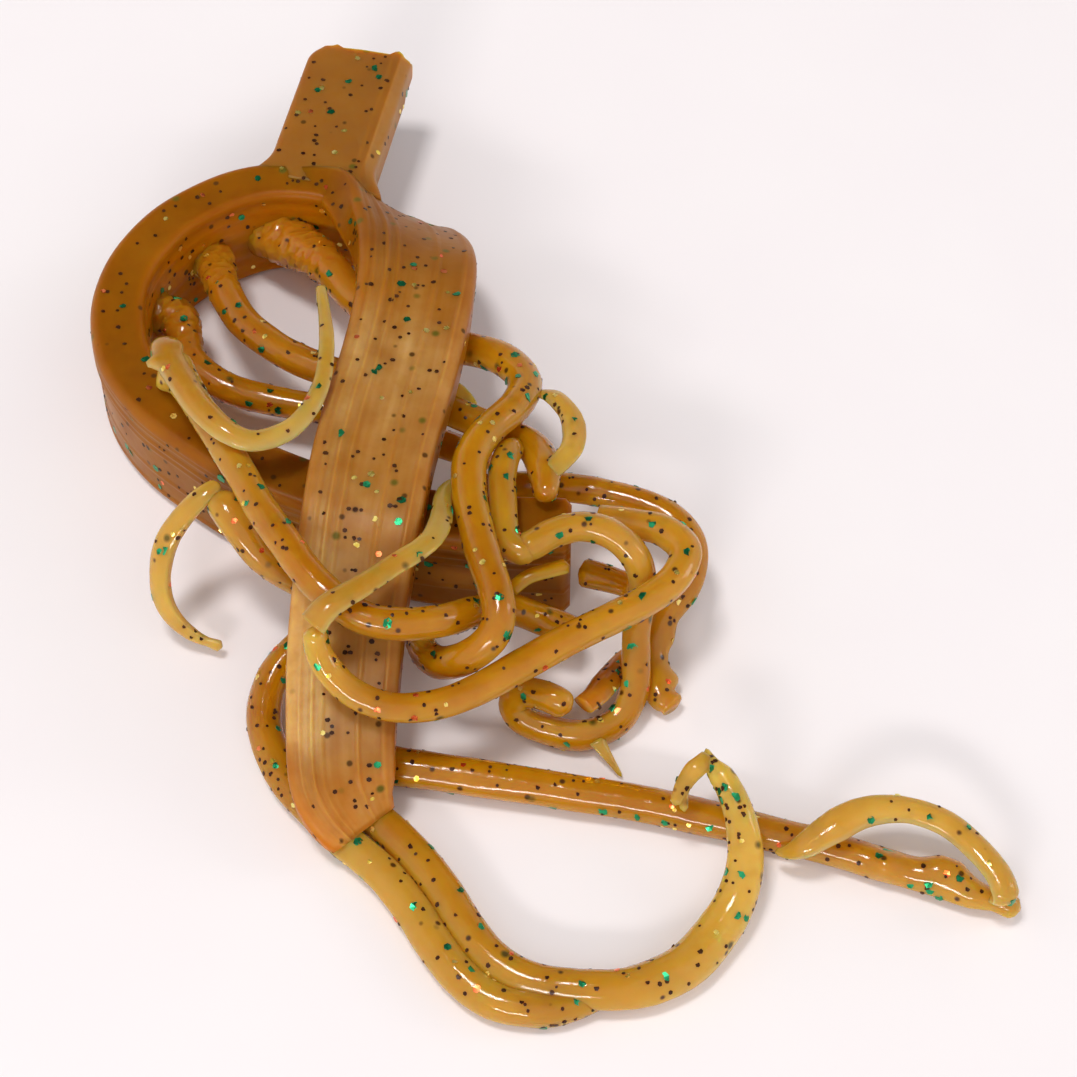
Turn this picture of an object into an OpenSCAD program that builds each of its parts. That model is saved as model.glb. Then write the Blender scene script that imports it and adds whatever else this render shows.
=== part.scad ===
// Soft plastic worm bait, moulded flat and shown as it lies in a tangle.
// A ribbed band carries a cut moulding tab at its middle. One half of the band is
// curled into a loop that stands on its edge, the other half lies over the tangle
// as a flat strap. Round legs with thin tails grow from the band's inner side.
// The bait rests on its lower edge, z = 0, and +Z is up. Millimetres throughout.

/* [Band] */
// Height of the band where it stands on its edge
band_h = 10; // [9:0.5:10]
// Thickness of the band beside the tab
band_t = 4.2; // [3.6:0.1:4.4]
// Thickness of the band at its cut end
band_t_end = 5; // [4:0.1:5.2]
// Thickness of the strap where it lies flat
strap_t = 3.2; // [2.6:0.1:3.3]
// Width of the strap over the tangle
strap_w = 9.8; // [8:0.1:10]
// Width of the strap at its free end
strap_w_end = 7.8; // [6:0.1:8.5]

/* [Tab] */
// Width of the moulding tab
tab_w = 9.3; // [7:0.1:9.5]
// Length of the moulding tab from its bend to the cut end
tab_l = 12; // [8:0.5:14]
// Thickness of the moulding tab
tab_t = 3.5; // [2.6:0.1:3.6]
// How far the tab leans from the fore-and-aft line
tab_lean = 12; // [6:1:14]

/* [Legs] */
// Radius of a leg's shaft
leg_r = 1.25; // [1:0.05:1.3]
// Radius of the stout S-shaped leg where it leaves the band
stout_r = 1.5; // [1.2:0.05:1.55]
// Radius of the short inner leg
inner_r = 1.1; // [0.9:0.05:1.15]
// Radius of a tail where it leaves its leg
tail_r = 0.9; // [0.6:0.05:0.95]
// Radius of a tail at its tip
tip_r = 0.5; // [0.35:0.05:0.6]

/* [Flakes] */
// Width across the large green flakes
green_flake = 0.9; // [0.6:0.1:1]
// Width across the copper flakes
copper_flake = 0.7; // [0.5:0.1:0.9]
// Width across the gold flakes
gold_flake = 0.6; // [0.4:0.1:0.8]
// Width across the small black flakes
black_flake = 0.5; // [0.3:0.1:0.7]

/* [Hidden] */

amber = [0.60, 0.37, 0.08];
amber_dark = [0.45, 0.27, 0.07];
amber_leg = [0.74, 0.47, 0.08];
pale_yellow = [0.80, 0.66, 0.32];

// The routes below are laid out around the middle of the tangle, and the whole
// bait is then moved so that its own box is centred over the origin.
centre = [-1.06, 1.235, 0];

tube_sides = 8;
leg_step = 3;
flake_t = 0.12;

loop_route = [
    [-19.2, 31.4], [-23.5, 31.4], [-27.5, 30], [-31.5, 27], [-34.2, 23], [-35.3, 19],
    [-35.2, 15], [-33.8, 11], [-31, 7.5], [-27.5, 4.5], [-23.5, 1.5], [-19, -1],
    [-14, -3], [-8.5, -4.4], [-3, -5], [2.6, -5.2]
];
// x, y, z and then the roll of the strap's wide side, 90 standing and 0 flat
strap_route = [
    [-18.8, 31.4, 5.1, 90], [-16.5, 31, 5.3, 84], [-13.5, 28.5, 6.5, 60], [-11.3, 25, 8.5, 30],
    [-10.4, 21, 10.3, 12], [-10.3, 17, 11.3, 5], [-10.7, 12.5, 11.8, 0], [-11.4, 8, 12, 0],
    [-12.2, 4, 12.1, 0], [-13.1, -1, 12.1, 0], [-13.7, -6, 11.9, 0], [-14.2, -9.5, 10.5, 0],
    [-14.7, -13.2, 8.8, 0], [-15, -17.4, 7, 0], [-15.1, -22, 5.6, 0], [-15, -26, 4.7, 0],
    [-14.4, -29.6, 4.5, 0]
];
tab_pivot = [-18.6, 35.5, 8.25];

crossing_route = [
    [2.5, -12, 4.4], [0, -11.6, 5.6], [-2.5, -12, 7.6], [-5, -13.8, 9.8], [-7.5, -15.6, 11.3],
    [-10.5, -16.4, 12.1], [-13.5, -15.9, 12.5], [-16.5, -13.8, 13.2], [-19, -10.6, 13.6],
    [-21.5, -6.4, 13.2], [-24, -2.4, 12.5], [-26, 1, 11.8], [-28, 4.4, 11.8], [-29.4, 7.5, 11.8],
    [-30, 9.8, 11.9]
];
crossing_tail_route = [
    [-30, 8.5, 14.2], [-28.8, 5.8, 14.4], [-27, 2.8, 14.5], [-24.8, 0.4, 14.4], [-22.5, -0.4, 14],
    [-20, 0.6, 13.9], [-18.3, 2.4, 14.2], [-17, 5.2, 14.4], [-16.6, 8.8, 14.4], [-17.2, 12.8, 13.6],
    [-18, 16.6, 12.8]
];
outer_loop_route = [
    [-7.5, 0, 5.4], [-4, 0.8, 6], [0, 0.8, 6.3], [4, 0.4, 6.3], [7.5, -0.6, 6.3], [10.5, -2.2, 6.3],
    [12.2, -4.4, 5.9], [12.3, -6.4, 5.2], [11.6, -8, 4.2], [10, -9.8, 3.2], [9.2, -12, 2.2],
    [9.2, -14, 1.5], [9.6, -16, 1.3]
];
big_loop_route = [
    [4.8, -4.4, 8.9], [7.4, -5, 9.2], [9.9, -6, 9.6], [11.5, -8, 9.7], [10.6, -10.6, 9.7],
    [8.4, -12.6, 9.7], [5.4, -14.4, 9.6], [2, -16.2, 9.4], [-1.4, -18.2, 9], [-4.8, -20.2, 8.7],
    [-8, -21.5, 8.7], [-11.5, -21.8, 9], [-14.4, -20.8, 9.9], [-16.4, -19, 11.6],
    [-16.8, -17.6, 13.6]
];
big_loop_tail_route = [
    [-15.8, -16.6, 14.8], [-13.6, -15, 14.9], [-11, -12.8, 14.7], [-8.5, -10.4, 14.2],
    [-7.6, -7.6, 13.2], [-7.5, -4.6, 12.4]
];
s_bend_route = [
    [-22, 28.6, 5], [-18.6, 25, 6], [-15.8, 20.8, 6.6], [-11.8, 16.8, 7], [-7.2, 14.2, 8],
    [-3.4, 12.2, 9], [-1.2, 9, 10], [-1.8, 5.5, 11.1], [-4, 2.2, 12], [-5.4, -1, 12.4],
    [-5.4, -4.5, 12.4], [-4.9, -7.5, 12.4], [-4.2, -10.5, 12.4], [-3.3, -13.4, 12.4],
    [-3, -15.6, 11.9], [-3.7, -17, 10.9], [-5.4, -17.6, 9.4], [-7.4, -17, 7.6], [-8.7, -15.3, 6],
    [-9.4, -13, 5], [-9.6, -10.6, 4.8]
];
ring_upper_route = [
    [-28.5, 26.2, 5], [-27.3, 22, 6.5], [-25, 17.2, 7.5], [-21.5, 13.6, 8], [-17.5, 11.4, 8],
    [-13, 9.6, 8], [-8.5, 7.8, 8.1], [-5, 6, 8.1], [-2.4, 4.4, 8.6], [-0.5, 2.5, 9.5],
    [0.3, 0, 10.5], [0.6, -2.6, 11.3], [0.5, -4.4, 11.5]
];
ring_upper_tail_route = [
    [2.6, 0.4, 11.7], [2.9, 2.2, 11.4], [2.6, 4.4, 11], [1.7, 6, 10.8], [0.9, 6.9, 10.5]
];
inner_route = [
    [-2.7, -0.6, 11.4], [-2.9, -2.6, 11.4], [-2.8, -4.6, 11.4], [-2.5, -6.2, 11.4]
];
ring_lower_route = [
    [-31, 19.5, 5], [-29.5, 14.8, 5.3], [-26.5, 12.2, 5], [-23, 11.2, 4.5], [-19, 10.4, 4.4],
    [-15, 9.2, 4.4], [-11, 7.6, 4.4], [-7, 6, 4.6], [-4, 4.2, 4.6]
];
arch_route = [
    [-0.6, -8.8, 11.5], [1, -7.4, 11.5], [3.5, -6.9, 11.5], [5.8, -7.5, 11.2], [7.6, -8.8, 10],
    [8.2, -10, 8.2], [8, -11.2, 6.4], [7.7, -12.8, 5.4], [7.7, -14.6, 4.2], [7.5, -16.6, 2.6],
    [6.2, -18.6, 1.5], [3.6, -19.8, 1.4], [1, -19.4, 1.4], [-1.2, -18.6, 1.7], [-2, -17.8, 2.8],
    [-1.2, -17.6, 4.1], [0.2, -18.2, 4.8], [1.5, -18.9, 4.9], [2.5, -19.4, 4.5]
];
arch_tail_route = [
    [4.4, -17.8, 3.9], [5.1, -16.5, 3.4], [5.9, -15, 2.8], [6.2, -13.6, 2.2]
];
tucked_tail_route = [
    [-2.1, -10.9, 8.7], [-0.9, -10.2, 9.3], [0.6, -9.7, 9.4], [2.4, -9, 9.2]
];
short_route = [
    [-19, -8.4, 6.2], [-21.5, -7.4, 7.8], [-23.3, -5.8, 9.4], [-24.6, -4.4, 10.2],
    [-25.5, -3, 10.4]
];
side_tail_route = [
    [-26.4, -3.4, 11], [-28.2, -4.8, 9.8], [-29.6, -6.2, 8], [-30.2, -8, 5.5], [-29.6, -9.6, 3.5],
    [-27.8, -10.8, 2], [-25.4, -11.5, 1.2]
];
strap_leg_route = [
    [-19.6, -13, 3.2], [-21.2, -15.4, 2.6], [-21.6, -18.2, 2], [-21, -21, 1.6], [-19.5, -24, 1.4],
    [-17.3, -26.6, 1.4], [-14.7, -29.3, 1.4], [-11.6, -32.2, 1.4]
];
strap_leg_end_route = [
    [-10.6, -33.4, 1.4], [-9.2, -35.4, 1.4], [-7.6, -38, 1.4], [-5.7, -40.8, 1.4],
    [-3, -42.9, 1.4], [0.6, -44, 1.4], [4, -44.1, 1.4]
];
hoop_root_route = [
    [-13.2, -26.6, 1.5], [-11, -28.7, 1.5], [-9.1, -30.8, 1.5]
];
hoop_route = [
    [-8.4, -31.7, 1.6], [-7.2, -33.4, 1.6], [-5.6, -36.2, 1.6], [-3.5, -39, 1.6],
    [-0.7, -40.8, 1.6], [2.8, -41.4, 1.6], [6.5, -41.2, 1.6], [10, -39.7, 1.7], [12.6, -36.9, 1.8],
    [14.4, -34.2, 2.6], [15.2, -31.8, 4], [15, -29.2, 5.4], [14.2, -27, 6.2], [12.9, -25.4, 6.6]
];
hoop_tail_route = [
    [11.7, -25.9, 6.4], [10.8, -27, 5.8], [10.2, -28.2, 5.2]
];
long_route = [
    [-15, -21.8, 1.8], [-11, -22.8, 1.8], [-7, -23.5, 1.8], [1, -24.8, 1.7], [8.5, -26.2, 1.6],
    [15, -27.8, 1.5], [19.5, -29, 1.4]
];
long_end_route = [
    [21, -29.4, 1.4], [25, -30.8, 1.4], [28.5, -32, 1.4], [32, -33.4, 1.4], [35, -34.6, 1.4]
];
long_tail_route = [
    [34.8, -35, 3.7], [34.2, -33.2, 3.9], [32.6, -31, 4.2], [30.4, -29.2, 4.6],
    [27.5, -28.3, 4.8], [24.5, -28.6, 4.8], [22, -29.8, 4.6], [20.2, -31, 4.2]
];
stub_route = [[3.2, -6.8, 5.1], [5.2, -7.2, 4.8], [7, -7.6, 4.5]];

// One point of a smooth curve through four route points, t from 0 to 1
function curve_point(a, b, c, d, t) =
    b + (c - a) * t / 2 + (2 * a - 5 * b + 4 * c - d) * t * t / 2
    + (3 * b - a - 3 * c + d) * t * t * t / 2;

// A route with its points joined by a smooth curve, in steps per span
function smooth_route(route, steps) =
    let (last = len(route) - 1)
    [
        for (i = [0 : last - 1], k = [0 : steps - 1])
            curve_point(route[max(i - 1, 0)], route[i], route[i + 1],
                route[min(i + 2, last)], k / steps),
        route[last]
    ];

function unit(v) = v / norm(v);

function tangent(line, i) =
    unit(line[min(i + 1, len(line) - 1)] - line[max(i - 1, 0)]);

// Sides carried along a line without any twist of their own
function carried_sides(line) =
    [
        for (
            i = 0, side = unit(cross(tangent(line, 0), [0, 0, 1]));
            i < len(line);
            i = i + 1,
            side = i < len(line)
                ? unit(side - (side * tangent(line, i)) * tangent(line, i)) : side
        ) side
    ];

// Faces of a closed skin over rings of equal length
function skin_faces(rings, sides) =
    [
        [for (k = [sides - 1 : -1 : 0]) k],
        for (i = [0 : rings - 2], k = [0 : sides - 1])
            let (a = i * sides, next = (k + 1) % sides)
            [a + k, a + next, a + sides + k],
        for (i = [0 : rings - 2], k = [0 : sides - 1])
            let (a = i * sides, next = (k + 1) % sides)
            [a + next, a + sides + next, a + sides + k],
        [for (k = [0 : sides - 1]) (rings - 1) * sides + k]
    ];

// A round tapering tube with a narrowed ring at each end
module tube(route, r_start, r_end, steps = leg_step, end_taper = 0.6) {
    line = smooth_route(route, steps);
    sides = carried_sides(line);
    last = len(line) - 1;
    points = [
        for (i = [0 : last])
            let (
                along = tangent(line, i),
                up = cross(sides[i], along),
                taper = (i == 0 || i == last) ? end_taper : 1,
                r = taper * (r_start + (r_end - r_start) * i / last)
            )
            for (k = [0 : tube_sides - 1])
                let (turn = 360 * k / tube_sides)
                line[i] + r * cos(turn) * sides[i] + r * sin(turn) * up
    ];
    polyhedron(points, skin_faces(last + 1, tube_sides));
}

// Flat ribbon with chamfered edges whose wide side rolls from standing to flat
module ribbon(route, steps) {
    line = smooth_route(route, steps);
    last = len(line) - 1;
    chamfer = 0.5;
    points = [
        for (i = [0 : last])
            let (
                here = [line[i][0], line[i][1], line[i][2]],
                ahead = line[min(i + 1, last)] - line[max(i - 1, 0)],
                along = unit([ahead[0], ahead[1], ahead[2]]),
                side = unit(cross([0, 0, 1], along)),
                up = cross(along, side),
                roll = line[i][3],
                wide = cos(roll) * side * -1 + sin(roll) * up,
                thick = cross(wide, along),
                part = i / last,
                flat_part = 1 - roll / 90,
                w = (roll > 1 ? band_h : strap_w)
                    + (strap_w_end - strap_w) * max(0, (part - 0.65) / 0.35),
                t = band_t + (strap_t - band_t) * flat_part,
                a = w / 2,
                b = t / 2
            )
            for (p = [
                [a, b - chamfer], [a - chamfer, b], [chamfer - a, b], [-a, b - chamfer],
                [-a, chamfer - b], [chamfer - a, -b], [a - chamfer, -b], [a, chamfer - b]
            ])
                here + p[0] * wide + p[1] * thick
    ];
    polyhedron(points, skin_faces(last + 1, 8));
}

module place() {
    translate(-centre) children();
}

// Plan outline of the standing loop, thickening towards its cut end
module loop_outline() {
    line = smooth_route(loop_route, 4);
    last = len(line) - 1;
    function half_t(i) = (band_t + (band_t_end - band_t) * i / last) / 2;
    function across(i) = let (d = tangent(line, i)) [d[1], -d[0]];
    polygon([
        for (i = [0 : last]) line[i] + half_t(i) * across(i),
        for (i = [last : -1 : 0]) line[i] - half_t(i) * across(i)
    ]);
}

module band_loop() {
    color(amber) place() linear_extrude(band_h) loop_outline();
}

module band_strap() {
    color(amber_dark) place() ribbon(strap_route, 3);
}

// The tab turns on its round root, one corner of its cut end is rounded
module sprue_tab() {
    corner_r = 2;
    color(amber) place() translate(tab_pivot) rotate(-tab_lean) union() {
        rotate([0, 90, 0]) cylinder(h = tab_w, d = tab_t, center = true, $fn = 32);
        translate([0, 0, -tab_t / 2]) linear_extrude(tab_t) union() {
            translate([-tab_w / 2, 0]) square([tab_w, tab_l - corner_r]);
            translate([-tab_w / 2 + corner_r, 0]) square([tab_w - corner_r, tab_l]);
            translate([-tab_w / 2 + corner_r, tab_l - corner_r]) circle(r = corner_r, $fn = 32);
        }
    }
}

module leg(route, r_start = leg_r, r_end = leg_r) {
    color(amber_leg) place() tube(route, r_start, r_end);
}

module tail(route, r_start = tail_r, r_end = tip_r) {
    color(pale_yellow) place() tube(route, r_start, r_end);
}

module crossing_leg() { leg(crossing_route); }
module crossing_tail() { tail(crossing_tail_route); }
module outer_loop_leg() { leg(outer_loop_route, leg_r, tail_r); }
module big_loop_leg() { leg(big_loop_route); }
module big_loop_tail() { tail(big_loop_tail_route); }
module s_bend_leg() { leg(s_bend_route, stout_r, leg_r); }
module ring_leg_upper() { leg(ring_upper_route); }
module ring_leg_upper_tail() { tail(ring_upper_tail_route); }
module inner_leg() { leg(inner_route, inner_r, inner_r); }
module ring_leg_lower() { leg(ring_lower_route); }
module arch_leg() { leg(arch_route); }
module arch_tail() { tail(arch_tail_route); }
module tucked_tail() { tail(tucked_tail_route, tip_r, tip_r); }
module short_leg() { leg(short_route, leg_r, tail_r); }
module side_tail() { tail(side_tail_route); }
module strap_leg() { leg(strap_leg_route); }
module strap_leg_end() { leg(strap_leg_end_route); }
module hoop_leg_root() { leg(hoop_root_route); }
module hoop_leg() { leg(hoop_route); }
module hoop_tail() { tail(hoop_tail_route); }
module long_leg() { leg(long_route, stout_r, leg_r); }
module long_leg_end() { leg(long_end_route, leg_r, leg_r); }
module long_tail() { tail(long_tail_route); }
module cut_stub() { leg(stub_route); }

// Six-sided glitter flakes in a row along the loop's upper edge, each colour in its lane
module flakes(count, width, shade, lane) {
    line = smooth_route(loop_route, 6);
    spacing = floor((len(line) - 4) / (count + 1));
    color(shade) place() for (i = [1 : count])
        let (
            at = spacing * i + round(2 * sin(137 * i)),
            along = tangent(line, at),
            aside = lane * band_t + 0.1 * sin(200 * i)
        )
        translate([line[at][0] + aside * along[1], line[at][1] - aside * along[0], band_h])
            rotate(40 * i) cylinder(h = flake_t, d = width, $fn = 6);
}

module green_flakes() { flakes(7, green_flake, [0.05, 0.45, 0.25], -0.32); }
module copper_flakes() { flakes(4, copper_flake, [0.80, 0.20, 0.08], -0.08); }
module gold_flakes() { flakes(6, gold_flake, [0.90, 0.75, 0.15], 0.12); }
module black_flakes() { flakes(9, black_flake, [0.08, 0.05, 0.04], 0.32); }

band_loop();
band_strap();
sprue_tab();
crossing_leg();
crossing_tail();
outer_loop_leg();
big_loop_leg();
big_loop_tail();
s_bend_leg();
ring_leg_upper();
ring_leg_upper_tail();
inner_leg();
ring_leg_lower();
arch_leg();
arch_tail();
tucked_tail();
short_leg();
side_tail();
strap_leg();
strap_leg_end();
hoop_leg_root();
hoop_leg();
hoop_tail();
long_leg();
long_leg_end();
long_tail();
cut_stub();
green_flakes();
copper_flakes();
gold_flakes();
black_flakes();
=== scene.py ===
"""A soft plastic bait lying in a tangle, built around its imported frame.

Every plastic piece is a skin drawn over rings of points. Routes are in millimetres in
the frame that part.scad lays them out in, and place() moves them to the row frame.
"""

import math
import random

import bpy
import numpy as np
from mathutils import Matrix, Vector, noise


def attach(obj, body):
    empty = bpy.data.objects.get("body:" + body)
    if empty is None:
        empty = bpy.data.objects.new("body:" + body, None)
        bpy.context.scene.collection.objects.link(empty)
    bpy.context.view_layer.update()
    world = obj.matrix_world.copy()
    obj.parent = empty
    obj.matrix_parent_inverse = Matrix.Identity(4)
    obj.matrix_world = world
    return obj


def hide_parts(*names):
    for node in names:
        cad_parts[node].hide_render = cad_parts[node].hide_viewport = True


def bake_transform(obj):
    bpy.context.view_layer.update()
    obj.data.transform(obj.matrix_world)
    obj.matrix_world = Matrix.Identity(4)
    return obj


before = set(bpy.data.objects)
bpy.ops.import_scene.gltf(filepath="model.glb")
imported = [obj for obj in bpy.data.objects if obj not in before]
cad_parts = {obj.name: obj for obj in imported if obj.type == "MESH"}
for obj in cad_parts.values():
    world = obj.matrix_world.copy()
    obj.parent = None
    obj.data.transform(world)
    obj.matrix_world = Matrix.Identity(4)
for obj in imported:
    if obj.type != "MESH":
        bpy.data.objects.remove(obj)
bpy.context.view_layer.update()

MM = 0.001
CENTRE = np.array([-1.06, 1.235, 0.0])  # middle of the bait's box, in the routes' frame
FLOOR_Z = 0.0
dice = random.Random(7)


# ---------------------------------------------------------------- curves and rings


def place(points):
    """Route millimetres to metres in the row frame."""
    return (np.asarray(points, float) - CENTRE) * MM


def smooth(route, steps=12):
    """The route's points joined by the same curve that part.scad draws."""
    p = np.asarray(route, float)
    out = []
    for i in range(len(p) - 1):
        a, b, c, d = p[max(i - 1, 0)], p[i], p[i + 1], p[min(i + 2, len(p) - 1)]
        for t in np.arange(steps) / steps:
            out.append(
                b
                + (c - a) * t / 2
                + (2 * a - 5 * b + 4 * c - d) * t**2 / 2
                + (3 * b - a - 3 * c + d) * t**3 / 2
            )
    return np.array(out + [p[-1]])


def even(line, step):
    """(points a step apart along the line, distance of each from its start)."""
    gaps = np.linalg.norm(np.diff(line[:, :3], axis=0), axis=1)
    along = np.concatenate([[0], np.cumsum(gaps)])
    count = max(4, int(round(along[-1] / step)) + 1)
    at = np.linspace(0, along[-1], count)
    return np.stack([np.interp(at, along, line[:, k]) for k in range(line.shape[1])], 1), at


def directions(line):
    """(tangents, sides, ups) carried along the line without any twist of their own."""
    t = np.gradient(line, axis=0)
    t /= np.linalg.norm(t, axis=1)[:, None]
    side = np.cross(t[0], [0, 0, 1.0])
    side /= np.linalg.norm(side)
    sides = []
    for d in t:
        side = side - d * side.dot(d)
        side /= np.linalg.norm(side)
        sides.append(side)
    sides = np.array(sides)
    return t, sides, np.cross(sides, t)


def ease(x, low, high):
    """0 below low, 1 above high, smooth between."""
    x = np.clip((np.asarray(x, float) - low) / (high - low), 0, 1)
    return x * x * (3 - 2 * x)


def rough(points, scale, seed):
    """Smooth noise, about -1 to 1, at each of an array of points, features scale wide."""
    flat = points.reshape(-1, 3) / scale + seed * 13.7
    return np.array([noise.noise(Vector(p)) for p in flat]).reshape(points.shape[:-1])


def arc_gap(a, b):
    """Signed angle from b to a, in radians, within half a turn."""
    return (a - b + math.pi) % (2 * math.pi) - math.pi


# ------------------------------------------------------------------ meshes and pieces

flake_beds = []  # (motion, rings in mm, amount) for each surface that holds glitter


def mesh_piece(name, verts, faces, material):
    """A named, smooth-shaded piece from vertices in metres, flat where it meets the floor."""
    verts = np.asarray(verts)
    verts[:, 2] = np.maximum(verts[:, 2], FLOOR_Z)
    mesh = bpy.data.meshes.new(name)
    mesh.from_pydata([tuple(v) for v in verts], [], faces)
    mesh.validate()
    mesh.polygons.foreach_set("use_smooth", [True] * len(mesh.polygons))
    mesh.materials.append(material)
    piece = bpy.data.objects.new(name, mesh)
    bpy.context.scene.collection.objects.link(piece)
    return piece


def skin(name, rings, material, slot, tone=0.0, warm=0.0):
    """A closed skin over rings (ring, point, xyz) in mm, with a centre point at each end.

    tone (0 plain to 1 pale and milky) and warm (0 to 1, how much light the plastic lets
    Two shades are kept on the vertices for the material. The first, 0 plain to 1 pale, mixes in
    the milky colour: real paleness in places, and a painted sheen, highlight or edge glow in
    others. The second, 0 to 1, mixes in a warmer colour: a real tint at leg roots and on some
    tails, and a painted glow of light passing through the plastic on the band.
    """
    n, k = rings.shape[:2]
    verts = np.concatenate(
        [rings.reshape(-1, 3), rings[:1].mean(axis=1), rings[-1:].mean(axis=1)]
    )
    faces = []
    for i in range(n - 1):
        for j in range(k):
            a, b = i * k + j, i * k + (j + 1) % k
            faces.append((a, a + k, b + k, b))
    first, last = n * k, n * k + 1
    for j in range(k):
        faces.append((first, j, (j + 1) % k))
        faces.append((last, (n - 1) * k + (j + 1) % k, (n - 1) * k + j))
    piece = mesh_piece(name, place(verts), faces, material)
    for label, values in (("tone", tone), ("warm", warm)):
        values = np.broadcast_to(values, (n, k))
        values = np.concatenate([values.reshape(-1), [values[0].mean(), values[-1].mean()]])
        layer = piece.data.attributes.new(label, "FLOAT", "POINT")
        layer.data.foreach_set("value", values.astype(np.float32))
    return piece


LIMB_SIDES = 30
LIMB_STEP = 0.26  # mm between rings
RIDGE = 0.09  # height of the mould's parting ridge along each side of a limb
RIDGE_SWAY, SWAY_LENGTH = 0.5, 11  # radians the ridge wanders, over this many mm
SWELL, SWELL_SIZE = 0.07, 3.0  # slow unevenness: height and size in mm
PITTING, PITTING_SIZE = 0.02, 0.8  # fine unevenness
PUCKER_SIZE = 0.62


def limb_rings(
    route, radii, bumps=(), wrinkles=(), flat=0.92, blunt=(0, 0.9), seed=0, ridge=RIDGE
):
    """Rings of a soft round limb.

    radii: (part of the length, radius) pairs. bumps: (mm along, degrees round, height,
    width). wrinkles: (mm from, mm to, depth) of puckered skin. flat: height over width.
    blunt: how far from its start and its end the limb rounds off, in radii.
    """
    line, s = even(smooth(route), LIMB_STEP)
    length = s[-1]
    t, sides, ups = directions(line)
    parts, values = zip(*radii)
    radius = np.interp(s / length, parts, values)
    for gap, amount in ((s, blunt[0]), (length - s, blunt[1])):
        if amount:
            fade = np.clip(1 - gap / (amount * radius), 0, 1)
            radius = radius * np.sqrt(np.clip(1 - fade**2, 0.03, 1))
    turn = np.linspace(0, 2 * math.pi, LIMB_SIDES, endpoint=False)
    phase = turn[None, :] + RIDGE_SWAY * np.sin(s / SWAY_LENGTH + seed)[:, None]
    r = np.repeat(radius[:, None], LIMB_SIDES, 1)
    for seam in (0.0, math.pi):
        lip = np.exp(-((arc_gap(phase, seam) / (0.14 + ridge)) ** 2))
        r += ridge * lip * (radius / max(values))[:, None]
    for at, degrees, height, width in bumps:
        gap_along = (s[:, None] - at) / width
        gap_round = arc_gap(turn[None, :], math.radians(degrees)) * radius[:, None] / width
        r += height * np.exp(-(gap_along**2) - gap_round**2)
    spokes = (
        np.cos(turn)[None, :, None] * sides[:, None, :]
        + flat * np.sin(turn)[None, :, None] * ups[:, None, :]
    )
    base = line[:, None, :] + spokes * r[:, :, None]
    r = r + SWELL * rough(base, SWELL_SIZE, seed) + PITTING * rough(base, PITTING_SIZE, seed + 5)
    for start, stop, depth in wrinkles:
        window = ease(s, start - 0.6, start + 0.4) * (1 - ease(s, stop - 2.5, stop + 1))
        squash = np.stack([s * 1.5, np.zeros_like(s), np.zeros_like(s)], 1)[:, None, :]
        puckers = 1 - 2.4 * np.abs(rough(base * 0.7 + squash, PUCKER_SIZE, seed + 9))
        r = r + depth * window[:, None] * (puckers - 0.35)
    return line[:, None, :] + spokes * r[:, :, None]


def limb(
    name, route, radii, material, slot, motion,
    glitter=1.0, tone=((0, 0), (1, 0)), warm=((0, 0), (1, 0)), side_glow=0.3, **shape
):
    """A leg or tail as its own piece, with its surface kept for the glitter.

    The paleness and the warmth go as (part of the length, amount) pairs; they carry real colour,
    and in places a painted highlight. The side paleness is how much paler the two thin sides are
    than the top and the bottom: a painted glow of light through the thin plastic.
    """
    rings = limb_rings(route, radii, **shape)
    shades = []
    for pairs in (tone, warm):
        parts, values = zip(*pairs)
        along = np.interp(np.linspace(0, 1, len(rings)), parts, values)[:, None]
        shades.append(np.repeat(along, rings.shape[1], 1))
    turn = np.linspace(0, 2 * math.pi, rings.shape[1], endpoint=False)
    # painted glow: the two thin sides made paler, as if lit through
    shades[0] = np.clip(shades[0] + side_glow * np.abs(np.cos(turn)) ** 6 - 0.3 * side_glow, 0, 1)
    piece = skin(name, rings, material, slot, *shades)
    if glitter:
        flake_beds.append((motion, rings, glitter))
    move(piece, motion)
    return piece


# -------------------------------------------------------------------------- motion

# A motion is a body's name, or (body, next body, start, end) for a piece that runs from one body
# to the other between two route points; move() bakes such a piece in place without a parent.
TAB_BEND = ("bait", "tab", (-18.95, 33.7, 8.25), (-18.1, 37.9, 8.25))
HOOP_BEND = ("bait", "hoop", (-10.1, -29.6, 1.5), (-7.4, -33.1, 1.5))
LONG_BEND = ("bait", "long_end", (18.2, -28.6, 1.4), (22.3, -29.8, 1.4))


def move(piece, motion):
    if isinstance(motion, str):
        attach(piece, motion)
    else:
        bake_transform(piece)


# ----------------------------------------------------------------------- materials


def node_material(name):
    material = bpy.data.materials.new(name)
    material.use_nodes = True
    tree = material.node_tree
    return material, tree.nodes, tree.links, tree.nodes["Principled BSDF"]


def ramp(nodes, links, source, stops):
    """A colour ramp over source. Stops are (place, colour)."""
    node = nodes.new("ShaderNodeValToRGB")
    while len(node.color_ramp.elements) < len(stops):
        node.color_ramp.elements.new(0.5)
    for element, (at, colour) in zip(node.color_ramp.elements, stops):
        element.position = at
        element.color = (*colour, 1)
    links.new(source, node.inputs["Fac"])
    return node.outputs["Color"]


def blend_colour(nodes, links, factor, a, b):
    """Mix of two colours, each a socket or a plain colour, by a socket or a number."""
    node = nodes.new("ShaderNodeMix")
    node.data_type = "RGBA"
    for socket, value in ((node.inputs[0], factor), (node.inputs[6], a), (node.inputs[7], b)):
        if isinstance(value, bpy.types.NodeSocket):
            links.new(value, socket)
        else:
            socket.default_value = (*value, 1) if isinstance(value, tuple) else value
    return node.outputs[2]


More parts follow.
